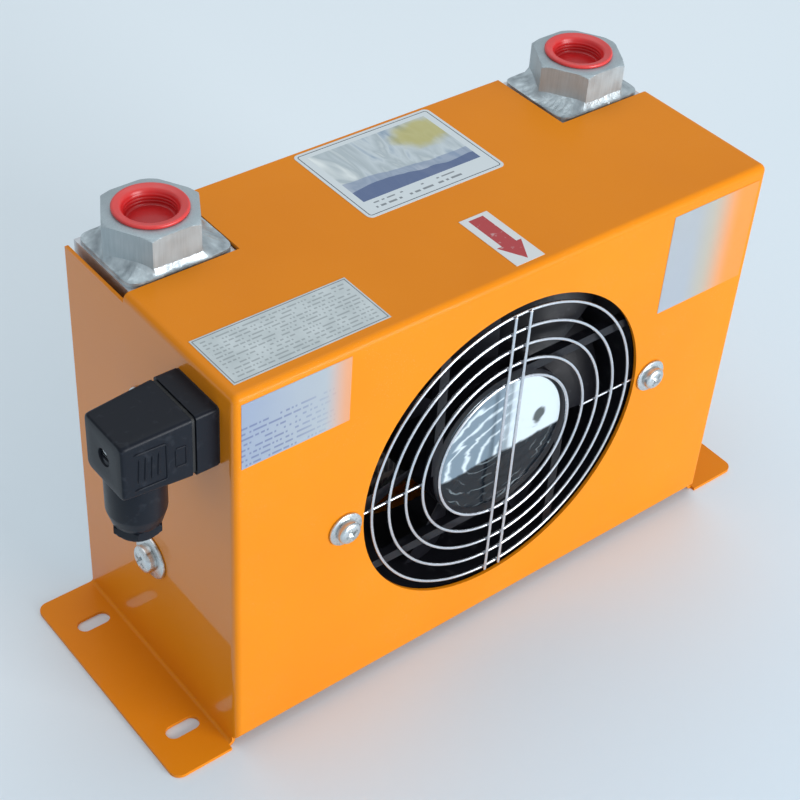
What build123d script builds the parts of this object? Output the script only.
"""Air-cooled hydraulic oil cooler: a sheet-steel housing on two slotted feet, an axial fan
behind a wire guard, a brazed aluminium core with two header tanks, and a square plug connector.

Millimetres. X runs along the front panel, air enters towards +Y through the panel, Z is up.
The origin lies on the floor, at the centre of the four foot slots.
"""
from build123d import *
from math import copysign, cos, pi, radians, sin, sqrt, tan
import os

# ---------------------------------------------------------------- driving sizes
# Axial fan (a 172 x 150 x 51 frame)
FAN_WIDTH = 172.0
FAN_HEIGHT = 150.0
FAN_DEPTH = 51.0
FAN_WALL = 2.5
FAN_FLANGE_T = 4.5
FAN_SCREW_SPACING = 162.0
FAN_SCREW_D = 5.0
HUB_R = 35.0
HUB_PLATE_T = 4.0
HUB_RECESS = 0.3
STRUT_W = 4.5
STRUT_T = 4.0
STRUT_OVERLAP = 1.0
BLADE_COUNT = 7
BLADE_T = 2.0
BLADE_ROOT_CHORD = 30.0
BLADE_TIP_CHORD = 42.0
BLADE_ROOT_PITCH = 48.0
BLADE_TIP_PITCH = 66.0
TIP_GAP = 2.0
SHAFT_R = 3.0
BEARING_R = 6.5
BEARING_L = 7.0
BEARING_TUBE_WALL = 2.0
STATOR_R = 24.0
STATOR_L = 18.0
WINDING_L = 5.0
BELL_R = 33.0
BELL_WALL = 1.5
CAGE_T = 4.0
ROTOR_GAP = 0.6

# Housing
SHEET_T = 1.5
BEND_R = 3.0
SIDE_BAY = 43.5
BAY_BELOW_FAN = 15.5
BAY_ABOVE_FAN = 11.5
FLOOR_GAP = 5.0
PLENUM = 17.1
OPENING_INSET = 0.5
FOOT_REACH = 28.0
FOOT_CORNER_R = 4.5
FOOT_FRONT_INSET = 0.8
SLOT_L = 15.0
SLOT_W = 7.0
SLOT_OFFSET = 12.0
SLOT_PITCH_Y = 70.0
NOTCH_GAP = 0.5
NOTCH_DROP = 4.0

# Wire guard
WIRE_D = 1.4
RING_COUNT = 5
RING_EDGE_GAP = 4.5
RING_PITCH = 8.4
UPRIGHT_SPACING = 7.6
UPRIGHT_OVERRUN = 1.0
EYELET_R = 5.5
ARM_D = 1.2

# Cooler core
CORE_BOSS_MARGIN = 4.0
CORE_RECESS = 1.0
TANK_BOSS_MARGIN = 10.0
TANK_WALL = 3.0
TANK_CAP_T = 3.0
TANK_SIDE_GAP = 2.0
TANK_FLOOR_GAP = 1.0
TUBE_COUNT = 15
TUBE_H = 3.0
TUBE_INSET = 4.0
TUBE_WALL = 0.8
FIN_T = 0.4
FIN_PITCH = 6.0
SIDE_PLATE_T = 2.0
SIDE_PLATE_INSET = 4.0

# Oil ports (G 3/4 female in a hexagonal boss)
BOSS_AF = 36.0
BOSS_RISE = 16.0
BOSS_OUTWARD = 1.5
BOSS_CROWN_SPREAD = 1.2
CROWN_ANGLE = 30.0
PORT_BORE_R = 12.1
WELD_RISE = 6.0
WELD_SPREAD = 4.5
WELD_TAPER = 1.5
WELD_INSET = 0.4
PLUG_FLANGE_RIM = 2.4
PLUG_FLANGE_T = 1.5
PLUG_DEPTH = 6.5
PLUG_WALL = 0.9
PLUG_CLEARANCE = 0.3
PLUG_RIB_COUNT = 3
PLUG_RIB = 0.35

# Core brackets and side screws
BRACKET_T = 2.0
BRACKET_REACH = 17.0
BRACKET_LEG = 20.0
BRACKET_MARGIN = 14.0
SIDE_SCREW_D = 6.0
SIDE_SCREW_SPACING = 76.0
SIDE_SCREW_FORWARD = 12.0
SIDE_SCREW_DROP = 85.0

# Square plug connector on the left side panel
CONN_SIZE = 27.0
CONN_FROM_FRONT = 22.0
CONN_FROM_TOP = 22.5
CONN_CORNER_R = 1.6
PANEL_GASKET_T = 0.8
BASE_T = 8.6
SPIGOT_R = 8.0
SPIGOT_L = 7.0
PROFILE_GASKET_T = 1.2
PROFILE_GASKET_INSET = 0.8
CONN_GAP = 0.15
CONN_STEP = 0.2
CONN_END_CHAMFER = 0.7
CAVITY_LEDGE = 1.0
PLUG_BODY_L = 27.2
PLUG_BODY_DRAFT = 1.5
PLUG_BODY_WALL = 2.4
PLUG_END_WALL = 4.2
NECK_R = 11.1
NECK_DROP = 20.2
NECK_FROM_END = 11.6
NECK_TAPER = 1.8
NECK_TAPER_L = 5.5
NECK_BORE_R = 6.2
GLAND_THREAD_R = 7.2
GLAND_THREAD_L = 8.0
GLAND_AF = 17.0
GLAND_FLANGE_T = 4.8
GLAND_BORE_R = 4.5
GLAND_WASHER_T = 1.0
GLAND_SEAL_L = 7.0
WASHER_BORE_GAP = 0.2
SEAL_GRIP = 0.3
PIN_OFFSET = 6.4
PIN_W = 4.8
PIN_T = 0.8
PIN_L = 9.5
PIN_TAIL_L = 8.0
CONTACT_W = 7.0
CONTACT_T = 3.2
CONTACT_L = 11.0
CENTRE_SCREW_D = 3.0
CENTRE_HEAD_D = 5.6
CENTRE_HEAD_T = 2.0
CENTRE_TIP_GAP = 1.5
DRIVE_SLOT_W = 0.9
HEAD_POCKET_R = 3.4
HEAD_POCKET_DEPTH = 3.2

# Leads inside the housing
LEAD_D = 2.2
TERMINAL_W = 6.0
TERMINAL_T = 1.4
TERMINAL_L = 8.0

# Labels
LABEL_T = 0.15
LABEL_CORNER_R = 2.5
PANEL_LABEL = (-29.0, 39.8, 53.0, 1.5)      # left and right x, then both edges' distances from the back
SPEC_LABEL = (4.5, 71.5, 6.5, 34.5)         # distances from the left side, then from the front
ARROW_LABEL = (-2.0, 12.0, 4.5, 38.5)       # left and right x, then distances from the front
LEFT_LABEL = (3.0, 49.5, 33.0, 3.5)         # distances from the left side, then from the top
RIGHT_LABEL = (52.6, 4.0, 54.0, 6.0)        # distances from the right side, then from the top

# Named clearances
SLIP = 0.1
RUNNING = 0.05
SCREW_CLEARANCE = 0.25

# ---------------------------------------------------------------- derived frame
CORE_DEPTH = BOSS_AF + CORE_BOSS_MARGIN
TUBE_DEPTH = CORE_DEPTH - 2 * TUBE_INSET
TANK_W = BOSS_AF + TANK_BOSS_MARGIN
PLUG_FLANGE_R = PORT_BORE_R + PLUG_FLANGE_RIM
HOUSING_W = FAN_WIDTH + 2 * (SIDE_BAY + SHEET_T)
HOUSING_H = FLOOR_GAP + 2 * SHEET_T + BAY_BELOW_FAN + FAN_HEIGHT + BAY_ABOVE_FAN
GUARD_GAP = WIRE_D
HOUSING_D = SHEET_T + GUARD_GAP + FAN_DEPTH + PLENUM + CORE_DEPTH + CORE_RECESS

RIGHT = HOUSING_W / 2
FRONT = -HOUSING_D / 2
BACK = HOUSING_D / 2
PANEL_IN = FRONT + SHEET_T
INNER_X = RIGHT - SHEET_T
INNER_TOP = HOUSING_H - SHEET_T
INNER_FLOOR = FLOOR_GAP + SHEET_T

FAN_Z = INNER_FLOOR + BAY_BELOW_FAN + FAN_HEIGHT / 2
FAN_FRONT = PANEL_IN + GUARD_GAP
FAN_BACK = FAN_FRONT + FAN_DEPTH
FAN_BORE_R = FAN_HEIGHT / 2 - FAN_WALL
FAN_SCREW_X = FAN_SCREW_SPACING / 2
OPENING_R = FAN_BORE_R - OPENING_INSET
RING_OUTER_R = OPENING_R - RING_EDGE_GAP

TANK_BACK = BACK - CORE_RECESS
TANK_FRONT = TANK_BACK - CORE_DEPTH
TANK_MID_Y = (TANK_FRONT + TANK_BACK) / 2
TANK_OUT_X = INNER_X - TANK_SIDE_GAP
TANK_IN_X = TANK_OUT_X - TANK_W
TANK_MID_X = (TANK_OUT_X + TANK_IN_X) / 2
PORT_X = TANK_MID_X + BOSS_OUTWARD
TANK_LOW = INNER_FLOOR + TANK_FLOOR_GAP
TANK_TOP = INNER_TOP
BOSS_TOP = HOUSING_H + BOSS_RISE
BOSS_H = BOSS_TOP - TANK_TOP

CORE_LOW = TANK_LOW + SIDE_PLATE_INSET
CORE_TOP = TANK_TOP - SIDE_PLATE_INSET
FIN_H = (CORE_TOP - CORE_LOW - 2 * SIDE_PLATE_T - TUBE_COUNT * TUBE_H) / (TUBE_COUNT + 1)

SIDE_SCREW_Y = TANK_FRONT - SIDE_SCREW_FORWARD
SIDE_SCREW_MID_Z = HOUSING_H - SIDE_SCREW_DROP
SIDE_SCREW_ZS = [SIDE_SCREW_MID_Z + k * SIDE_SCREW_SPACING / 2 for k in (-1, 1)]

CONN_Y = FRONT + CONN_FROM_FRONT
CONN_Z = HOUSING_H - CONN_FROM_TOP
BASE_IN_X = -RIGHT - PANEL_GASKET_T
BASE_OUT_X = BASE_IN_X - BASE_T
BODY_IN_X = BASE_OUT_X - CONN_GAP - PROFILE_GASKET_T
BODY_OUT_X = BODY_IN_X - PLUG_BODY_L
NECK_X = BODY_OUT_X + NECK_FROM_END
NECK_LOW = CONN_Z - CONN_SIZE / 2 - NECK_DROP

SLOT_X = RIGHT + SLOT_OFFSET
SLOT_Y = SLOT_PITCH_Y / 2


# ---------------------------------------------------------------- shape helpers
def block(x0, x1, y0, y1, z0, z1):
    """A box between two corners."""
    size = Box(abs(x1 - x0), abs(y1 - y0), abs(z1 - z0))
    return Pos((x0 + x1) / 2, (y0 + y1) / 2, (z0 + z1) / 2) * size


def rod_x(radius, x0, x1, y, z):
    """A cylinder along X."""
    return Pos((x0 + x1) / 2, y, z) * Rot(0, 90, 0) * Cylinder(radius, abs(x1 - x0))


def rod_y(radius, y0, y1, x=0.0, z=FAN_Z):
    """A cylinder along Y, on the fan axis unless told otherwise."""
    return Pos(x, (y0 + y1) / 2, z) * Rot(90, 0, 0) * Cylinder(radius, abs(y1 - y0))


def rod_z(radius, z0, z1, x, y):
    """A cylinder along Z."""
    return Pos(x, y, (z0 + z1) / 2) * Cylinder(radius, abs(z1 - z0))


def tube_y(outer, inner, y0, y1, x=0.0, z=FAN_Z):
    """A ring along Y."""
    return rod_y(outer, y0, y1, x, z) - rod_y(inner, y0 - 1, y1 + 1, x, z)


def group(solids):
    """Separate solids kept in one node."""
    return Compound(children=[s for shape in solids for s in shape.solids()])


def hexagon_z(across_flats, z0, z1, x, y):
    """A hexagonal prism along Z with two corners on the X direction."""
    outline = RegularPolygon(radius=across_flats / 2, side_count=6, major_radius=False)
    return Pos(x, y, z0) * extrude(outline, amount=z1 - z0)


def washer(inner_d, outer_d, thickness):
    """A flat washer standing on z = 0."""
    ring = Cylinder(outer_d / 2, thickness) - Cylinder(inner_d / 2, 2 * thickness)
    return Pos(0, 0, thickness / 2) * ring


HEAD_ROUND = 0.55       # share of the head's height that is rounded
RECESS_WIDTH = 0.14     # the cross recess, as shares of the head's diameter
RECESS_LENGTH = 0.52


def pan_screw(diameter, head_d, head_h, length):
    """A cross-recessed pan-head screw: the head rises from z = 0, the shank goes down."""
    head = Pos(0, 0, head_h / 2) * Cylinder(head_d / 2, head_h)
    head = fillet(head.edges().sort_by(Axis.Z)[-1], head_h * HEAD_ROUND)
    for angle in (0, 90):
        arm = Box(head_d * RECESS_LENGTH, head_d * RECESS_WIDTH, head_h)
        head -= Pos(0, 0, head_h) * Rot(0, 0, angle) * arm
    shank = Pos(0, 0, -length / 2) * Cylinder(diameter / 2, length)
    return head + shank


def hex_nut(diameter, across_flats, thickness):
    """A hexagon nut standing on z = 0."""
    prism = hexagon_z(across_flats, 0, thickness, 0, 0)
    return prism - Cylinder(diameter / 2, 4 * thickness)


FACE_FRONT = Rot(90, 0, 0)      # turns +Z of a fastener towards -Y
FACE_LEFT = Rot(0, -90, 0)      # turns +Z of a fastener towards -X
FACE_RIGHT = Rot(0, 90, 0)      # turns +Z of a fastener towards +X


# ---------------------------------------------------------------- housing
def tray(half_w, front, back, low, top, radius):
    """A box whose front edges and top side edges are rounded."""
    body = block(-half_w, half_w, front, back, low, top)
    edges = [e for e in body.edges()
             if abs(e.center().Y - front) < 0.01
             or (abs(e.center().Z - top) < 0.01 and abs(abs(e.center().X) - half_w) < 0.01)]
    return fillet(edges, radius)


def foot(side):
    """One folded foot: the side panel runs down, turns outwards and lies on the floor."""
    inner_r = BEND_R - SHEET_T
    with BuildSketch(Plane.XZ) as profile:
        with BuildLine():
            x_in, x_out = RIGHT - SHEET_T, RIGHT
            x_turn = x_in + BEND_R
            toe = RIGHT + FOOT_REACH
            top = FLOOR_GAP + BEND_R
            Polyline((x_in, BEND_R), (x_in, top), (x_out, top), (x_out, BEND_R))
            RadiusArc((x_out, BEND_R), (x_turn, SHEET_T), -inner_r)
            Polyline((x_turn, SHEET_T), (toe, SHEET_T), (toe, 0), (x_turn, 0))
            RadiusArc((x_turn, 0), (x_in, BEND_R), BEND_R)
        make_face()
    folded = extrude(profile.sketch, amount=HOUSING_D / 2, both=True)
    keep = block(RIGHT - 2 * SHEET_T, RIGHT + 2 * FOOT_REACH, FRONT + BEND_R, BACK, -1, HOUSING_H)
    keep += block(x_turn, RIGHT + 2 * FOOT_REACH, FRONT + FOOT_FRONT_INSET, BACK, -1, HOUSING_H)
    folded = folded & keep
    corners = folded.edges().filter_by(Axis.Z).sort_by(Axis.X)[-2:]
    folded = fillet(corners, FOOT_CORNER_R)
    for y in (-SLOT_Y, SLOT_Y):
        slot = extrude(SlotOverall(SLOT_L, SLOT_W), amount=4 * SHEET_T, both=True)
        folded -= Pos(SLOT_X, y, 0) * slot
    return folded if side > 0 else mirror(folded, about=Plane.YZ)


def housing_shell():
    """Front, top, floor and side panels in one folded sheet, open at the back for the core."""
    shell = tray(RIGHT, FRONT, BACK, FLOOR_GAP, HOUSING_H, BEND_R)
    shell -= tray(INNER_X, PANEL_IN, BACK + SHEET_T, INNER_FLOOR, INNER_TOP, BEND_R - SHEET_T)
    shell += foot(-1) + foot(1)
    shell -= rod_y(OPENING_R, FRONT - 1, PANEL_IN + 1)
    for side in (-1, 1):
        inner = side * (TANK_IN_X - NOTCH_GAP)
        shell -= block(inner, side * (RIGHT + 1), TANK_FRONT - NOTCH_GAP, BACK + 1,
                       HOUSING_H - NOTCH_DROP, HOUSING_H + 1)
        shell -= rod_y(FAN_SCREW_D / 2 + SCREW_CLEARANCE, FRONT - 1, PANEL_IN + 1, side * FAN_SCREW_X)
        for z in SIDE_SCREW_ZS:
            shell -= rod_x(SIDE_SCREW_D / 2 + SCREW_CLEARANCE, side * (INNER_X - 1),
                           side * (RIGHT + 1), SIDE_SCREW_Y, z)
    shell -= rod_x(SPIGOT_R + SCREW_CLEARANCE, -RIGHT - 1, -INNER_X + 1, CONN_Y, CONN_Z)
    for y, z in BASE_SCREW_SPOTS:
        shell -= rod_x(BASE_SCREW_D / 2 + SCREW_CLEARANCE, -RIGHT - 1, -INNER_X + 1, y, z)
    return shell


# ---------------------------------------------------------------- wire guard
ARM_Y = PANEL_IN + WIRE_D / 2
RING_Y = ARM_Y - (ARM_D + WIRE_D) / 2
UPRIGHT_Y = RING_Y - WIRE_D


def ring_radius(k):
    """Rings are counted from the outside."""
    return RING_OUTER_R - k * RING_PITCH


def guard_rings():
    """Five concentric wire rings in the opening."""
    return group([Pos(0, RING_Y, FAN_Z) * Rot(90, 0, 0) * Torus(ring_radius(k), WIRE_D / 2)
                  for k in range(RING_COUNT)])


def guard_uprights():
    """Two straight wires across the front of the rings, ending just past the outer ring."""
    reach = RING_OUTER_R + UPRIGHT_OVERRUN
    return group([rod_z(WIRE_D / 2, FAN_Z - reach, FAN_Z + reach, x, UPRIGHT_Y)
                  for x in (-UPRIGHT_SPACING / 2, UPRIGHT_SPACING / 2)])


def guard_arms():
    """A wire arm each side, from the fourth ring to an eyelet round the fan screw."""
    arms = []
    start = ring_radius(RING_COUNT - 2)
    for side in (-1, 1):
        eye_r = EYELET_R - WIRE_D / 2
        wire = rod_x(ARM_D / 2, side * start, side * (FAN_SCREW_X - eye_r), ARM_Y, FAN_Z)
        eye = Pos(side * FAN_SCREW_X, ARM_Y, FAN_Z) * Rot(90, 0, 0) * Torus(eye_r, WIRE_D / 2)
        arms.append(wire + eye)
    return group(arms)


# ---------------------------------------------------------------- fan
def racetrack(y0, y1):
    """The fan's flange outline: a circle with flat top and bottom."""
    disc = rod_y(FAN_WIDTH / 2, y0, y1)
    flats = block(-FAN_WIDTH, FAN_WIDTH, y0 - 1, y1 + 1, FAN_Z - FAN_HEIGHT / 2, FAN_Z + FAN_HEIGHT / 2)
    return disc & flats


MOTOR_GAP = 1.0
BELL_END_GAP = 2.0
BELL_END_WALL = 2.0
BEARING_TUBE_R = BEARING_R + BEARING_TUBE_WALL
BEARING_SEAT = FAN_FRONT + HUB_PLATE_T / 2
STATOR_FRONT = FAN_FRONT + HUB_PLATE_T + WINDING_L + MOTOR_GAP
STATOR_BACK = STATOR_FRONT + STATOR_L
BEARING_TUBE_BACK = STATOR_BACK + WINDING_L + MOTOR_GAP
BELL_FRONT = FAN_FRONT + HUB_PLATE_T + MOTOR_GAP
BELL_BACK = BEARING_TUBE_BACK + BELL_END_GAP + BELL_END_WALL
STRUT_COUNT = 4


def fan_frame():
    """Die-cast frame: two flanges, the air duct, four tangent struts, hub plate and bearing tube."""
    frame = racetrack(FAN_FRONT, FAN_FRONT + FAN_FLANGE_T)
    frame += racetrack(FAN_BACK - FAN_FLANGE_T, FAN_BACK)
    frame += rod_y(FAN_HEIGHT / 2, FAN_FRONT, FAN_BACK)
    frame -= rod_y(FAN_BORE_R, FAN_FRONT - 1, FAN_BACK + 1)
    front = FAN_FRONT + HUB_RECESS
    hub = rod_y(HUB_R, front, FAN_FRONT + HUB_PLATE_T)
    offset = HUB_R - STRUT_OVERLAP
    reach = sqrt(FAN_BORE_R ** 2 - offset ** 2) + FAN_WALL / 2
    for k in range(STRUT_COUNT):
        strut = block(0, reach, front, front + STRUT_T, offset - STRUT_W / 2, offset + STRUT_W / 2)
        hub += Pos(0, 0, FAN_Z) * Rot(0, 360 / STRUT_COUNT * k, 0) * strut
    hub += rod_y(BEARING_TUBE_R, front, BEARING_TUBE_BACK)
    hub -= rod_y(BEARING_R, BEARING_SEAT, FAN_BACK)
    frame += hub
    for side in (-1, 1):
        frame -= rod_y(FAN_SCREW_D / 2 + SCREW_CLEARANCE, FAN_FRONT - 1, FAN_BACK + 1, side * FAN_SCREW_X)
    return frame


def fan_bearings():
    """Two sintered sleeve bearings pressed into the bearing tube."""
    front = BEARING_SEAT + MOTOR_GAP
    spots = [(front, front + BEARING_L), (BEARING_TUBE_BACK - BEARING_L, BEARING_TUBE_BACK)]
    return group([tube_y(BEARING_R, SHAFT_R + RUNNING, y0, y1) for y0, y1 in spots])


SHAFT_END_GAP = 1.5


def fan_shaft():
    """The rotor's shaft, from the front bearing to the bell's end wall."""
    return rod_y(SHAFT_R, BEARING_SEAT + SHAFT_END_GAP, BELL_BACK)


STATOR_SLOT_COUNT = 8
STATOR_SLOT_R = 3.0
STATOR_SLOT_W = 2.0
SLOT_CENTRE_R = 17.0
COIL_INSET = 2.0
COIL_TUBE_GAP = 1.5


def fan_stator():
    """Laminated stator pack on the bearing tube, with eight winding slots."""
    pack = tube_y(STATOR_R, BEARING_TUBE_R, STATOR_FRONT, STATOR_BACK)
    y0, y1 = STATOR_FRONT - 1, STATOR_BACK + 1
    half = STATOR_SLOT_W / 2
    slot = rod_y(STATOR_SLOT_R, y0, y1, SLOT_CENTRE_R, 0)
    slot += block(SLOT_CENTRE_R, STATOR_R + 1, y0, y1, -half, half)
    for k in range(STATOR_SLOT_COUNT):
        pack -= Pos(0, 0, FAN_Z) * Rot(0, 360 / STATOR_SLOT_COUNT * k, 0) * slot
    return pack


def fan_windings():
    """The copper end turns in front of and behind the stator pack."""
    coils = []
    for y0, y1 in ((STATOR_FRONT - WINDING_L, STATOR_FRONT), (STATOR_BACK, STATOR_BACK + WINDING_L)):
        coils.append(tube_y(STATOR_R - COIL_INSET, BEARING_TUBE_R + COIL_TUBE_GAP, y0, y1))
    return group(coils)


def fan_bell():
    """The rotor bell: a cup over the stator, closed at the back."""
    cup = rod_y(BELL_R, BELL_FRONT, BELL_BACK)
    cup -= rod_y(BELL_R - BELL_WALL, BELL_FRONT - 1, BELL_BACK - BELL_END_WALL)
    return cup - rod_y(SHAFT_R, BELL_FRONT, BELL_BACK + 1)


def fan_cage():
    """The rotor's laminated cage ring inside the bell."""
    outer = BELL_R - BELL_WALL
    inner = STATOR_R + ROTOR_GAP
    return tube_y(outer, max(inner, outer - 2 * CAGE_T), STATOR_FRONT, STATOR_BACK)


RING_WALL = 2.0
BLADE_BACK_GAP = 1.5


def blade():
    """One twisted blade, standing on the X axis, from the ring to the duct."""
    root, tip = BELL_R + RING_WALL / 2, FAN_BORE_R - TIP_GAP
    mid_y = (BELL_FRONT + BELL_BACK) / 2
    sections = []
    for radius, chord, pitch in ((root, BLADE_ROOT_CHORD, BLADE_ROOT_PITCH),
                                 (tip, BLADE_TIP_CHORD, BLADE_TIP_PITCH)):
        plane = Plane(origin=(radius, mid_y, 0), x_dir=(0, cos(radians(pitch)), sin(radians(pitch))),
                      z_dir=(1, 0, 0))
        sections.append(plane * Rectangle(chord, BLADE_T))
    sweep_room = rod_y(tip, BELL_FRONT, FAN_BACK - BLADE_BACK_GAP, 0, 0)
    return loft(sections, ruled=True) & sweep_room


def fan_impeller():
    """A ring of seven blades pressed onto the bell."""
    ring = tube_y(BELL_R + RING_WALL, BELL_R, BELL_FRONT, BELL_BACK)
    one = blade()
    for k in range(BLADE_COUNT):
        ring += Pos(0, 0, FAN_Z) * Rot(0, 360 / BLADE_COUNT * k, 0) * one
    bore = rod_y(BELL_R, BELL_FRONT - 1, BELL_BACK + 1)
    return ring - bore


HUB_DISC_INSET = 3.0


def hub_disc():
    """The bright foil disc on the fixed hub."""
    front = FAN_FRONT + HUB_RECESS
    return rod_y(HUB_R - HUB_DISC_INSET, front - LABEL_T, front)


TERMINAL_ANGLE = 152.0
BLOCK_DEPTH, BLOCK_WIDTH, BLOCK_HEIGHT = 7.2, 14.0, 9.0
TAB_L, TAB_W, TAB_T = 4.8, 4.8, 0.8
TAB_TIP = BLOCK_DEPTH + TAB_L
TAB_YS = [(FAN_FRONT + FAN_BACK) / 2 + k * BLOCK_WIDTH / 4 for k in (-1, 1)]
BLOCK_MID_Y = (FAN_FRONT + FAN_BACK) / 2


def on_fan(x, y, z):
    """A spot in the terminal block's frame: x outwards from the duct wall, z along it."""
    turn = radians(TERMINAL_ANGLE)
    r = FAN_HEIGHT / 2 + x
    return (r * cos(turn) - z * sin(turn), y, FAN_Z + r * sin(turn) + z * cos(turn))


def placed_on_fan(shape):
    """Turns a shape made at x = 0 outwards onto the duct wall, at the terminal angle."""
    return Pos(0, 0, FAN_Z) * Rot(0, -TERMINAL_ANGLE, 0) * Pos(FAN_HEIGHT / 2, 0, 0) * shape


def fan_terminal_block():
    """Moulded block on the duct wall, with two tabs for the supply leads."""
    body = block(0, BLOCK_DEPTH, BLOCK_MID_Y - BLOCK_WIDTH / 2, BLOCK_MID_Y + BLOCK_WIDTH / 2,
                 -BLOCK_HEIGHT / 2, BLOCK_HEIGHT / 2)
    body = placed_on_fan(body)
    return body - rod_y(FAN_HEIGHT / 2, FAN_FRONT, FAN_BACK)


def tab_box(y):
    """One tab, before it is turned into place."""
    return block(BLOCK_DEPTH, TAB_TIP, y - TAB_W / 2, y + TAB_W / 2, -TAB_T / 2, TAB_T / 2)


def fan_tabs():
    """Two brass tabs standing in the terminal block."""
    return group([placed_on_fan(tab_box(y)) for y in TAB_YS])


# ---------------------------------------------------------------- fasteners
FAN_WASHER_D, FAN_WASHER_T = 15.0, 1.2
FAN_HEAD_D, FAN_HEAD_H = 10.0, 3.6
SPRING_WASHER_D, SPRING_WASHER_T = 9.2, 1.2
FAN_NUT_AF, FAN_NUT_T = 8.0, 4.0
FAN_GRIP = FAN_WASHER_T + SHEET_T + GUARD_GAP + FAN_FLANGE_T + SPRING_WASHER_T + FAN_NUT_T
SIDE_WASHER_D, SIDE_WASHER_T = 20.0, 1.5
SIDE_HEAD_D, SIDE_HEAD_H = 12.0, 4.6
SIDE_NUT_AF, SIDE_NUT_T = 10.0, 5.0
SIDE_GRIP = SIDE_WASHER_T + SHEET_T + BRACKET_T + SIDE_NUT_T + SLIP
SCREW_TAIL = 2.0
WASHER_GAP = 0.3


def fan_fasteners():
    """Two sets of screw, washer, spring washer and nut through the panel, guard and flange."""
    screws, washers, springs, nuts = [], [], [], []
    for side in (-1, 1):
        at = Pos(side * FAN_SCREW_X, FRONT, FAN_Z) * FACE_FRONT
        behind = Pos(side * FAN_SCREW_X, FAN_FRONT + FAN_FLANGE_T, FAN_Z) * Rot(-90, 0, 0)
        washers.append(at * washer(FAN_SCREW_D + WASHER_GAP, FAN_WASHER_D, FAN_WASHER_T))
        screws.append(at * Pos(0, 0, FAN_WASHER_T)
                      * pan_screw(FAN_SCREW_D, FAN_HEAD_D, FAN_HEAD_H, FAN_GRIP + SCREW_TAIL))
        springs.append(behind * washer(FAN_SCREW_D + WASHER_GAP, SPRING_WASHER_D, SPRING_WASHER_T))
        nuts.append(behind * Pos(0, 0, SPRING_WASHER_T) * hex_nut(FAN_SCREW_D, FAN_NUT_AF, FAN_NUT_T))
    return {"fan_screws": group(screws), "fan_washers": group(washers),
            "fan_spring_washers": group(springs), "fan_nuts": group(nuts)}


def side_fasteners():
    """Two screws each side, through the side panel into nuts on the core brackets."""
    screws, washers, nuts = [], [], []
    for side, turn in ((-1, FACE_LEFT), (1, FACE_RIGHT)):
        for z in SIDE_SCREW_ZS:
            at = Pos(side * RIGHT, SIDE_SCREW_Y, z) * turn
            inside = at * Pos(0, 0, -(SHEET_T + SLIP + BRACKET_T + SIDE_NUT_T))
            washers.append(at * washer(SIDE_SCREW_D + WASHER_GAP, SIDE_WASHER_D, SIDE_WASHER_T))
            screws.append(at * Pos(0, 0, SIDE_WASHER_T)
                          * pan_screw(SIDE_SCREW_D, SIDE_HEAD_D, SIDE_HEAD_H, SIDE_GRIP + SCREW_TAIL))
            nuts.append(inside * hex_nut(SIDE_SCREW_D, SIDE_NUT_AF, SIDE_NUT_T))
    return {"core_screws": group(screws), "core_washers": group(washers), "core_nuts": group(nuts)}


# ---------------------------------------------------------------- core
def fin_strip(length, height):
    """A square-wave fin, seen from the front, centred on x = 0 and standing on z = 0."""
    folds = int(length / (FIN_PITCH / 2))
    step = length / folds
    half = FIN_T / 2
    upper, lower = [], []
    for k in range(folds):
        x0, x1 = k * step - length / 2, (k + 1) * step - length / 2
        x0 += half if k == 0 else 0
        x1 -= half if k == folds - 1 else 0
        if k % 2 == 0:
            upper += [(x0 - half, height), (x1 + half, height)]
            lower += [(x0 + half, height - FIN_T), (x1 - half, height - FIN_T)]
        else:
            upper += [(x0 + half, FIN_T), (x1 - half, FIN_T)]
            lower += [(x0 - half, 0), (x1 + half, 0)]
    first_foot = [(upper[0][0], 0), (lower[0][0], 0)]
    outline = Polyline(*upper, *reversed(lower), first_foot[1], first_foot[0], close=True)
    return make_face(outline)


def core_fins():
    """Square-wave fins between the tubes."""
    length = 2 * TANK_IN_X - 2 * NOTCH_GAP
    strip = extrude(Plane.XZ * fin_strip(length, FIN_H), amount=TUBE_DEPTH / 2, both=True)
    pitch = FIN_H + TUBE_H
    first = CORE_LOW + SIDE_PLATE_T
    return group([Pos(0, TANK_MID_Y, first + k * pitch) * strip for k in range(TUBE_COUNT + 1)])


def core_tube(k, grow=0.0):
    """The outside of tube k, which ends flush with the inside of the tank walls."""
    low = CORE_LOW + SIDE_PLATE_T + FIN_H + k * (FIN_H + TUBE_H)
    reach = TANK_IN_X + TANK_WALL + grow
    return block(-reach, reach, TANK_MID_Y - TUBE_DEPTH / 2, TANK_MID_Y + TUBE_DEPTH / 2, low, low + TUBE_H)


def core_tubes():
    """Flat oil tubes from tank to tank, open at both ends."""
    tubes = []
    for k in range(TUBE_COUNT):
        tube = core_tube(k)
        box = tube.bounding_box()
        hollow = block(box.min.X - 1, box.max.X + 1, box.min.Y + TUBE_WALL, box.max.Y - TUBE_WALL,
                       box.min.Z + TUBE_WALL, box.max.Z - TUBE_WALL)
        tubes.append(tube - hollow)
    return group(tubes)


def core_side_plates():
    """The plates that close the core below the lowest fin and above the highest."""
    depth = TUBE_DEPTH / 2
    plates = [block(-TANK_IN_X, TANK_IN_X, TANK_MID_Y - depth, TANK_MID_Y + depth, z, z + SIDE_PLATE_T)
              for z in (CORE_LOW, CORE_TOP - SIDE_PLATE_T)]
    return group(plates)


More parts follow.
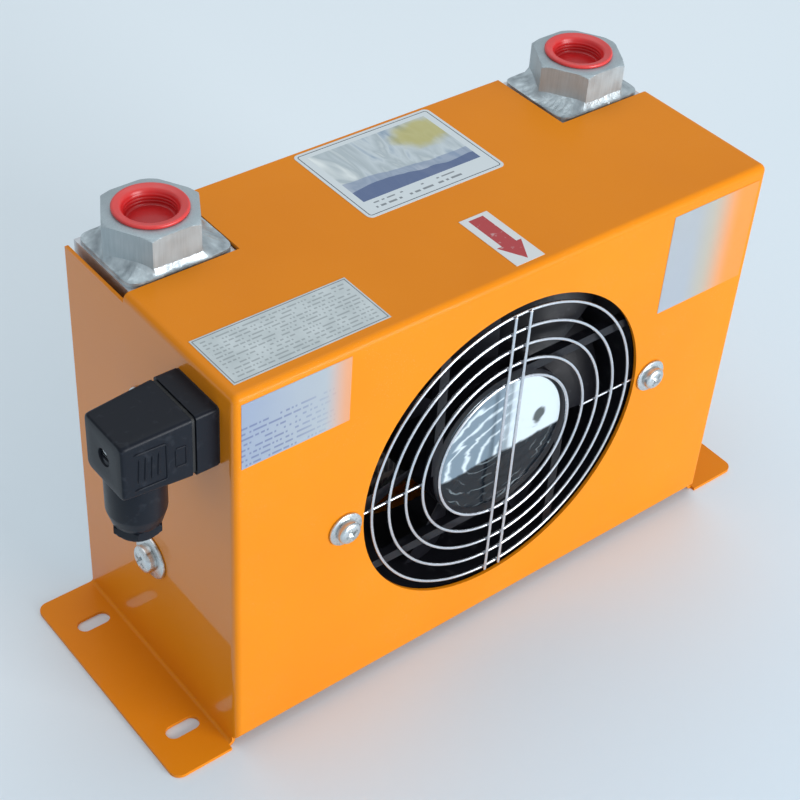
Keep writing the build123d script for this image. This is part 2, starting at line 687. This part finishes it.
def header_tank(side):
    """A square tank tube with a slot for each oil tube."""
    low, top = TANK_LOW + TANK_CAP_T, TANK_TOP - TANK_CAP_T
    tank = block(TANK_IN_X, TANK_OUT_X, TANK_FRONT, TANK_BACK, low, top)
    tank -= block(TANK_IN_X + TANK_WALL, TANK_OUT_X - TANK_WALL, TANK_FRONT + TANK_WALL,
                  TANK_BACK - TANK_WALL, low - 1, top + 1)
    for k in range(TUBE_COUNT):
        tank -= core_tube(k, SHEET_T)
    return tank if side > 0 else mirror(tank, about=Plane.YZ)


def tank_caps():
    """A welded cap at each end of each tank; the upper ones are pierced for the ports."""
    caps = []
    for side in (-1, 1):
        for low, pierced in ((TANK_LOW, False), (TANK_TOP - TANK_CAP_T, True)):
            cap = block(side * TANK_IN_X, side * TANK_OUT_X, TANK_FRONT, TANK_BACK, low, low + TANK_CAP_T)
            if pierced:
                cap -= rod_z(PORT_BORE_R, low - 1, low + TANK_CAP_T + 1, side * PORT_X, TANK_MID_Y)
            caps.append(cap)
    return group(caps)


def core_bracket(side):
    """An angle strip welded to the tank front, flat against the side panel."""
    low, top = SIDE_SCREW_ZS[0] - BRACKET_MARGIN, SIDE_SCREW_ZS[1] + BRACKET_MARGIN
    outer = INNER_X - SLIP
    angle = block(outer - BRACKET_T, outer, TANK_FRONT - BRACKET_REACH, TANK_FRONT, low, top)
    angle += block(outer - BRACKET_LEG, outer, TANK_FRONT - BRACKET_T, TANK_FRONT, low, top)
    for z in SIDE_SCREW_ZS:
        angle -= rod_x(SIDE_SCREW_D / 2 + SCREW_CLEARANCE, outer - 2 * BRACKET_T, outer + 1, SIDE_SCREW_Y, z)
    return angle if side > 0 else mirror(angle, about=Plane.YZ)


# ---------------------------------------------------------------- ports
def port_boss(x):
    """Hexagonal boss with the G 3/4 bore, welded on the tank cap."""
    boss = hexagon_z(BOSS_AF, TANK_TOP, BOSS_TOP, x, TANK_MID_Y)
    crown_r = BOSS_AF / 2 + BOSS_CROWN_SPREAD
    foot_r = crown_r + BOSS_H / tan(radians(CROWN_ANGLE))
    crown = Pos(x, TANK_MID_Y, BOSS_TOP - BOSS_H / 2) * Cone(foot_r, crown_r, BOSS_H)
    boss = boss & crown
    boss -= rod_z(PORT_BORE_R, TANK_TOP - 1, BOSS_TOP + 1, x, TANK_MID_Y)
    return boss


def port_weld(x):
    """The weld run between the boss and the tank cap."""
    corner_r = BOSS_AF / sqrt(3)
    cone = Cone(corner_r + WELD_SPREAD, corner_r - WELD_TAPER, WELD_RISE)
    run = Pos(x, TANK_MID_Y, TANK_TOP + WELD_RISE / 2) * cone
    half_x, half_y = TANK_W / 2 - WELD_INSET, CORE_DEPTH / 2 - WELD_INSET
    middle = copysign(TANK_MID_X, x)
    run = run & block(middle - half_x, middle + half_x, TANK_MID_Y - half_y, TANK_MID_Y + half_y,
                      TANK_TOP, BOSS_TOP)
    return run - hexagon_z(BOSS_AF, TANK_TOP - 1, BOSS_TOP, x, TANK_MID_Y)


def port_plug(x):
    """Thin moulded transport plug: a flange on the boss and a ribbed cup in the bore."""
    body_r = PORT_BORE_R - PLUG_CLEARANCE - PLUG_RIB
    low = BOSS_TOP + SLIP - PLUG_DEPTH
    plug = rod_z(PLUG_FLANGE_R, BOSS_TOP + SLIP, BOSS_TOP + SLIP + PLUG_FLANGE_T, x, TANK_MID_Y)
    plug = chamfer(plug.edges().sort_by(Axis.Z)[-1], PLUG_FLANGE_T / 2)
    plug += rod_z(body_r, low, BOSS_TOP + PLUG_FLANGE_T / 2, x, TANK_MID_Y)
    for k in range(PLUG_RIB_COUNT):
        z = low + PLUG_DEPTH * (k + 1) / (PLUG_RIB_COUNT + 1)
        plug += Pos(x, TANK_MID_Y, z) * Torus(body_r - PLUG_RIB, 2 * PLUG_RIB)
    cup_r = body_r - PLUG_WALL
    plug -= rod_z(cup_r, low + PLUG_WALL, BOSS_TOP + 2 * PLUG_FLANGE_T, x, TANK_MID_Y)
    return plug


# ---------------------------------------------------------------- connector
BASE_SCREW_D = 3.0
BASE_SCREW_DEPTH = 5.0
BASE_SCREW_TIP_GAP = 1.0
BASE_HEAD_D, BASE_HEAD_H = 5.6, 2.2
BASE_SCREW_EDGE = 3.3
BASE_SCREW_REACH = CONN_SIZE / 2 - BASE_SCREW_EDGE
BASE_SCREW_SPOTS = [(CONN_Y + s * BASE_SCREW_REACH, CONN_Z + s * BASE_SCREW_REACH) for s in (-1, 1)]


def square_x(x0, x1, size, radius):
    """A square bar along X with rounded edges, centred on the connector axis."""
    bar = block(x0, x1, CONN_Y - size / 2, CONN_Y + size / 2, CONN_Z - size / 2, CONN_Z + size / 2)
    return fillet(bar.edges().filter_by(Axis.X), radius)


PIN_SPOTS = [(CONN_Y + PIN_OFFSET * cos(a), CONN_Z + PIN_OFFSET * sin(a), i % 2 == 0)
             for i, a in enumerate((0, pi / 2, pi, 3 * pi / 2))]


def blade_box(spot, x0, x1, width, thick):
    """A flat bar along X at one pin spot; its wide side runs round the connector axis."""
    y, z, upright = spot
    dy, dz = (thick / 2, width / 2) if upright else (width / 2, thick / 2)
    return block(x0, x1, y - dy, y + dy, z - dz, z + dz)


def connector_base():
    """Square socket base with a round spigot through the panel."""
    base = square_x(BASE_IN_X, BASE_OUT_X, CONN_SIZE, CONN_CORNER_R)
    base += rod_x(SPIGOT_R, BASE_IN_X, BASE_IN_X + SPIGOT_L, CONN_Y, CONN_Z)
    base -= rod_x(CENTRE_SCREW_D / 2 + SCREW_CLEARANCE, BASE_OUT_X - 1, BASE_OUT_X + BASE_T, CONN_Y, CONN_Z)
    for spot in PIN_SPOTS:
        base -= blade_box(spot, BASE_OUT_X - 1, BASE_IN_X + SPIGOT_L + 1, PIN_W, PIN_T)
    for y, z in BASE_SCREW_SPOTS:
        base -= rod_x(BASE_SCREW_D / 2, BASE_IN_X + 1, BASE_IN_X - BASE_SCREW_DEPTH, y, z)
    return base


def connector_pins():
    """Four flat pins through the base, with solder tails inside the housing."""
    return group([blade_box(spot, BASE_OUT_X - PIN_L, BASE_IN_X + SPIGOT_L + PIN_TAIL_L, PIN_W, PIN_T)
                  for spot in PIN_SPOTS])


def panel_gasket():
    """Flat gasket between the base and the panel."""
    pad = square_x(-RIGHT, BASE_IN_X, CONN_SIZE - 2 * CONN_STEP, CONN_CORNER_R)
    pad -= rod_x(SPIGOT_R, -RIGHT + 1, BASE_IN_X - 1, CONN_Y, CONN_Z)
    for y, z in BASE_SCREW_SPOTS:
        pad -= rod_x(BASE_SCREW_D / 2, -RIGHT + 1, BASE_IN_X - 1, y, z)
    return pad


def base_screws():
    """Two screws from inside the panel into the base."""
    length = SHEET_T + PANEL_GASKET_T + BASE_SCREW_DEPTH - BASE_SCREW_TIP_GAP
    return group([Pos(-INNER_X, y, z) * FACE_RIGHT * pan_screw(BASE_SCREW_D, BASE_HEAD_D, BASE_HEAD_H, length)
                  for y, z in BASE_SCREW_SPOTS])


INSERT_SIZE = CONN_SIZE - 2 * PLUG_BODY_WALL - 2 * SLIP
INSERT_BACK = 3.0
INSERT_X0 = BODY_IN_X
INSERT_X1 = BODY_IN_X - CONTACT_L - INSERT_BACK


def profile_gasket():
    """Square gasket on the plug, pressed against the base."""
    pad = square_x(BODY_IN_X + PROFILE_GASKET_T, BODY_IN_X, CONN_SIZE - 2 * PROFILE_GASKET_INSET,
                   CONN_CORNER_R)
    return pad - square_x(BODY_IN_X + 2 * PROFILE_GASKET_T, BODY_IN_X - 1, INSERT_SIZE, CONN_CORNER_R)


def drafted_body():
    """The plug's outside: square at the base, slightly smaller at the outer end."""
    outlines = []
    for x, size in ((BODY_IN_X, CONN_SIZE - 2 * CONN_STEP), (BODY_OUT_X, CONN_SIZE - 2 * PLUG_BODY_DRAFT)):
        plane = Plane(origin=(x, CONN_Y, CONN_Z), x_dir=(0, 1, 0), z_dir=(-1, 0, 0))
        outlines.append(plane * RectangleRounded(size, size, CONN_CORNER_R))
    body = loft(outlines, ruled=True)
    end_edges = body.faces().sort_by(Axis.X)[0].edges()
    return chamfer(end_edges, CONN_END_CHAMFER)


def connector_housing():
    """Hollow plug housing with a pocket for the centre screw and a neck for the gland."""
    straight = NECK_LOW + NECK_TAPER_L
    shell = drafted_body()
    shell += rod_z(NECK_R, straight, CONN_Z, NECK_X, CONN_Y)
    taper = Cone(NECK_R - NECK_TAPER, NECK_R, NECK_TAPER_L)
    shell += Pos(NECK_X, CONN_Y, NECK_LOW + NECK_TAPER_L / 2) * taper
    cavity_end = BODY_OUT_X + PLUG_END_WALL
    shell -= square_x(BODY_IN_X + 1, cavity_end, CONN_SIZE - 2 * (PLUG_BODY_WALL + CAVITY_LEDGE),
                      CONN_CORNER_R)
    shell -= square_x(BODY_IN_X + 1, INSERT_X1, CONN_SIZE - 2 * PLUG_BODY_WALL, CONN_CORNER_R)
    shell -= rod_z(NECK_BORE_R, NECK_LOW - 1, CONN_Z, NECK_X, CONN_Y)
    shell -= rod_z(GLAND_THREAD_R + SLIP, NECK_LOW - 1, GLAND_SEAL_TOP, NECK_X, CONN_Y)
    shell -= rod_x(CENTRE_SCREW_D / 2 + SCREW_CLEARANCE, cavity_end + 1, BODY_OUT_X - 1, CONN_Y, CONN_Z)
    shell -= rod_x(HEAD_POCKET_R, BODY_OUT_X + HEAD_POCKET_DEPTH, BODY_OUT_X - 1, CONN_Y, CONN_Z)
    side_y = CONN_Y - CONN_SIZE / 2 + CONN_STEP
    for k in range(PANEL_RIBS):
        x = BODY_OUT_X + PANEL_RIB_FIRST + k * PANEL_RIB_PITCH
        shell += block(x, x + PANEL_RIB_W, side_y, side_y + PANEL_RIB_DEPTH,
                       CONN_Z - PANEL_RIB_H, CONN_Z + PANEL_RIB_H)
    return shell


PANEL_RIBS = 4
PANEL_RIB_FIRST = 5.0
PANEL_RIB_PITCH = 3.0
PANEL_RIB_W = 1.2
PANEL_RIB_H = 7.0
PANEL_RIB_DEPTH = 2.0

GLAND_TOP = NECK_LOW + GLAND_THREAD_L
GLAND_WASHER_TOP = GLAND_TOP + SLIP + GLAND_WASHER_T
GLAND_SEAL_TOP = GLAND_WASHER_TOP + GLAND_SEAL_L


def gland_nut():
    """Hexagonal gland nut screwed up into the neck, with the cable bore through it."""
    low = NECK_LOW - 2 * SLIP - GLAND_FLANGE_T
    nut = hexagon_z(GLAND_AF, low, NECK_LOW - 2 * SLIP, NECK_X, CONN_Y)
    nut = nut & (Pos(NECK_X, CONN_Y, low + GLAND_FLANGE_T / 2)
                 * Cone(GLAND_AF / 2, GLAND_AF / 2 + 2 * GLAND_FLANGE_T, GLAND_FLANGE_T))
    nut += rod_z(GLAND_THREAD_R - SLIP, NECK_LOW - 2 * SLIP, GLAND_TOP, NECK_X, CONN_Y)
    return nut - rod_z(GLAND_BORE_R, low - 1, GLAND_TOP + 1, NECK_X, CONN_Y)


def gland_washer():
    """Thin steel ring between the gland nut and its seal."""
    low = GLAND_TOP + SLIP
    ring = rod_z(GLAND_THREAD_R, low, GLAND_WASHER_TOP, NECK_X, CONN_Y)
    return ring - rod_z(GLAND_BORE_R + WASHER_BORE_GAP, low - 1, GLAND_WASHER_TOP + 1, NECK_X, CONN_Y)


def gland_seal():
    """Rubber seal ring that grips the cable."""
    ring = rod_z(GLAND_THREAD_R, GLAND_WASHER_TOP, GLAND_SEAL_TOP, NECK_X, CONN_Y)
    return ring - rod_z(GLAND_BORE_R - SEAL_GRIP, GLAND_WASHER_TOP - 1, GLAND_SEAL_TOP + 1, NECK_X, CONN_Y)


def connector_insert():
    """The terminal block inside the plug, which carries the four contacts."""
    insert = square_x(INSERT_X0, INSERT_X1, INSERT_SIZE, CONN_CORNER_R)
    insert -= rod_x(CENTRE_SCREW_D / 2 + SCREW_CLEARANCE, INSERT_X0 + 1, INSERT_X1 - 1, CONN_Y, CONN_Z)
    for spot in PIN_SPOTS:
        insert -= blade_box(spot, INSERT_X0 + 1, INSERT_X0 - CONTACT_L, CONTACT_W, CONTACT_T)
    return insert


def connector_contacts():
    """Four sockets, each slotted to take a pin."""
    contacts = []
    for spot in PIN_SPOTS:
        socket = blade_box(spot, INSERT_X0, INSERT_X0 - CONTACT_L, CONTACT_W, CONTACT_T)
        socket -= blade_box(spot, INSERT_X0 + 1, INSERT_X0 - CONTACT_L + 1,
                            PIN_W + 4 * SLIP, PIN_T + 4 * SLIP)
        contacts.append(socket)
    return group(contacts)


def centre_screw():
    """The long screw that holds the plug on its base; its head sits in the end pocket."""
    head_x = BODY_OUT_X + HEAD_POCKET_DEPTH
    reach = BASE_IN_X - CENTRE_TIP_GAP
    head = Pos(head_x, CONN_Y, CONN_Z) * FACE_LEFT * Pos(0, 0, CENTRE_HEAD_T / 2) * Cylinder(
        CENTRE_HEAD_D / 2, CENTRE_HEAD_T)
    head -= Pos(head_x - CENTRE_HEAD_T, CONN_Y, CONN_Z) * Box(CENTRE_HEAD_T, CENTRE_HEAD_D + 1, DRIVE_SLOT_W)
    return head + rod_x(CENTRE_SCREW_D / 2, head_x, reach, CONN_Y, CONN_Z)


# ---------------------------------------------------------------- leads
EARTH_STUD_D = 4.0
EARTH_NUT_AF, EARTH_NUT_T = 7.0, 3.2
EARTH_Y = CONN_Y
EARTH_DROP = 32.0
EARTH_Z = CONN_Z - EARTH_DROP
RING_TAG_NECK_W = 4.0
RING_TAG_T = 0.8
RING_TAG_R = 4.2
RING_TAG_NECK = 1.2
TAG_BARREL = 3.0
TAG_BARREL_L = 4.0


def cord_tube(points):
    """A round lead along straight runs joined by the largest tangent arcs they allow."""
    radii = []
    for a, b, c in zip(points, points[1:], points[2:]):
        u, v = Vector(*b) - Vector(*a), Vector(*c) - Vector(*b)
        half_turn = radians(u.get_angle(v)) / 2
        radii.append(0.45 * min(u.length, v.length) / tan(half_turn))
    route = FilletPolyline(*points, radius=radii)
    start = Plane(origin=route @ 0, z_dir=route % 0)
    lead = sweep(start * Circle(LEAD_D / 2), path=route)
    print("lead: length %.1f, least radius %.1f, volume ratio %.4f"
          % (route.length, min(radii), lead.volume / (route.length * pi * (LEAD_D / 2) ** 2)))
    return lead


TAIL_X = BASE_IN_X + SPIGOT_L + PIN_TAIL_L
TAG_BEYOND = 3.0
TAB_TAG_BEYOND = 4.0
TAB_TAG_GAP = 1.2


def tag_box(spot):
    """A push-on terminal over one solder tail."""
    end = TAIL_X + TAG_BEYOND
    return blade_box(spot, end - TERMINAL_L, end, TERMINAL_W, TERMINAL_T + PIN_T)


def lead_terminals():
    """Push-on terminals on three pins and on the fan's two tabs, and the earth ring tag."""
    tags = []
    for spot in (PIN_SPOTS[0], PIN_SPOTS[2], PIN_SPOTS[3]):
        inner = blade_box(spot, BASE_IN_X, TAIL_X, PIN_W, PIN_T)
        tags.append(tag_box(spot) - inner)
    half_w, half_t = TERMINAL_W / 2, (TERMINAL_T + TAB_T) / 2
    for y in TAB_YS:
        tag = block(BLOCK_DEPTH + TAB_TAG_GAP, TAB_TIP + TAB_TAG_BEYOND,
                    y - half_w, y + half_w, -half_t, half_t)
        tags.append(placed_on_fan(tag - tab_box(y)))
    ring = rod_x(RING_TAG_R, -INNER_X, -INNER_X + RING_TAG_T, EARTH_Y, EARTH_Z)
    neck_z = EARTH_Z - RING_TAG_R - RING_TAG_NECK
    half_neck = RING_TAG_NECK_W / 2
    ring += block(-INNER_X, -INNER_X + RING_TAG_T, EARTH_Y - half_neck, EARTH_Y + half_neck,
                  neck_z, EARTH_Z - EARTH_STUD_D / 2)
    ring += block(-INNER_X, -INNER_X + TAG_BARREL, EARTH_Y - TAG_BARREL / 2, EARTH_Y + TAG_BARREL / 2,
                  neck_z - TAG_BARREL_L, neck_z)
    tags.append(ring - rod_x(EARTH_STUD_D / 2, -RIGHT, -INNER_X + 3, EARTH_Y, EARTH_Z))
    return group(tags)


def earth_fasteners():
    """The earth stud, welded to the inside of the side panel, and the nut over the ring tag."""
    tag_x = -INNER_X + RING_TAG_T
    stud = rod_x(EARTH_STUD_D / 2, -INNER_X, tag_x + EARTH_NUT_T + SCREW_TAIL, EARTH_Y, EARTH_Z)
    nut = Pos(tag_x, EARTH_Y, EARTH_Z) * FACE_RIGHT * hex_nut(EARTH_STUD_D, EARTH_NUT_AF, EARTH_NUT_T)
    return {"earth_stud": stud, "earth_nut": nut}


LEAD_RUN = 13.0


def fan_lead(spot, side):
    """A supply lead from one solder tail to one fan tab."""
    y, z, _ = spot
    start_x = TAIL_X + TAG_BEYOND
    tab_y = BLOCK_MID_Y + side * BLOCK_WIDTH / 4
    reach = TAB_TIP + TAB_TAG_BEYOND
    return cord_tube([(start_x, y, z), (start_x + LEAD_RUN, y, z),
                      on_fan(reach + LEAD_RUN, tab_y, 0), on_fan(reach, tab_y, 0)])


EARTH_LEAD_LOOP = [(13.0, 0.0), (17.0, -19.0)]              # x from the tag, z from the pin
EARTH_LEAD_RISE = [(12.0, -6.0), (-2.0, -18.0)]             # x from the tag, z from the barrel
EARTH_LEAD_DIP = 14.0


def earth_lead():
    """The earth lead: out from the lowest tail, down, and back up into the ring tag's barrel."""
    y, z, _ = PIN_SPOTS[3]
    start_x = TAIL_X + TAG_BEYOND
    end_x = -INNER_X + TAG_BARREL / 2
    end_z = EARTH_Z - RING_TAG_R - RING_TAG_NECK - TAG_BARREL_L
    down = [(start_x + dx, y, z + dz) for dx, dz in EARTH_LEAD_LOOP]
    up = [(start_x + dx, y, end_z + dz) for dx, dz in EARTH_LEAD_RISE]
    return cord_tube([(start_x, y, z), *down, *up, (end_x, y, end_z - EARTH_LEAD_DIP), (end_x, y, end_z)])


# ---------------------------------------------------------------- labels
def foil(plane, x0, x1, y0, y1, corner_r=0.0):
    """A thin foil on a panel, with rounded corners if a radius is given."""
    width, height = x1 - x0, y1 - y0
    outline = RectangleRounded(width, height, corner_r) if corner_r else Rectangle(width, height)
    return extrude(plane * Pos((x0 + x1) / 2, (y0 + y1) / 2) * outline, amount=LABEL_T)


def labels():
    """Blank foils where the object carries its labels."""
    top = Plane(origin=(0, 0, HOUSING_H))
    front = Plane(origin=(0, FRONT, 0), x_dir=(1, 0, 0), z_dir=(0, -1, 0))
    x0, x1, far, near = PANEL_LABEL
    panel = foil(top, x0, x1, BACK - far, BACK - near, LABEL_CORNER_R)
    x0, x1, near, far = SPEC_LABEL
    spec = foil(top, -RIGHT + x0, -RIGHT + x1, FRONT + near, FRONT + far)
    x0, x1, near, far = ARROW_LABEL
    arrow = foil(top, x0, x1, FRONT + near, FRONT + far)
    x0, x1, low, high = LEFT_LABEL
    left = foil(front, -RIGHT + x0, -RIGHT + x1, HOUSING_H - low, HOUSING_H - high)
    x0, x1, low, high = RIGHT_LABEL
    right = foil(front, RIGHT - x0, RIGHT - x1, HOUSING_H - low, HOUSING_H - high)
    return {"label_top_panel": panel, "label_spec": spec, "label_flow_arrow": arrow,
            "label_front_left": left, "label_front_right": right}


# ---------------------------------------------------------------- all nodes
def build_all():
    """Every node by name."""
    nodes = {
        "housing_shell": housing_shell(),
        "guard_rings": guard_rings(), "guard_uprights": guard_uprights(), "guard_arms": guard_arms(),
        "fan_frame": fan_frame(), "fan_bearings": fan_bearings(), "fan_shaft": fan_shaft(),
        "fan_stator": fan_stator(), "fan_windings": fan_windings(), "fan_bell": fan_bell(),
        "fan_cage": fan_cage(), "fan_impeller": fan_impeller(), "fan_hub_disc": hub_disc(),
        "fan_terminal_block": fan_terminal_block(), "fan_tabs": fan_tabs(),
        "core_fins": core_fins(), "core_tubes": core_tubes(), "core_side_plates": core_side_plates(),
        "header_tank_left": header_tank(-1), "header_tank_right": header_tank(1),
        "tank_caps": tank_caps(),
        "core_bracket_left": core_bracket(-1), "core_bracket_right": core_bracket(1),
        "port_boss_left": port_boss(-PORT_X), "port_boss_right": port_boss(PORT_X),
        "port_weld_left": port_weld(-PORT_X), "port_weld_right": port_weld(PORT_X),
        "port_plug_left": port_plug(-PORT_X), "port_plug_right": port_plug(PORT_X),
        "connector_base": connector_base(), "connector_pins": connector_pins(),
        "connector_panel_gasket": panel_gasket(), "connector_base_screws": base_screws(),
        "connector_profile_gasket": profile_gasket(), "connector_housing": connector_housing(),
        "connector_insert": connector_insert(), "connector_contacts": connector_contacts(),
        "connector_centre_screw": centre_screw(),
        "gland_nut": gland_nut(), "gland_washer": gland_washer(), "gland_seal": gland_seal(),
        "lead_terminals": lead_terminals(),
        "lead_live": fan_lead(PIN_SPOTS[0], 1), "lead_neutral": fan_lead(PIN_SPOTS[2], -1),
        "lead_earth": earth_lead(),
    }
    nodes.update(fan_fasteners())
    nodes.update(side_fasteners())
    nodes.update(earth_fasteners())
    nodes.update(labels())
    return nodes


def main():
    """Writes one STEP file per node."""
    os.makedirs("parts", exist_ok=True)
    for name, shape in build_all().items():
        export_step(shape, "parts/%s.step" % name)
        print(name, len(shape.solids()))


if __name__ == "__main__":
    main()
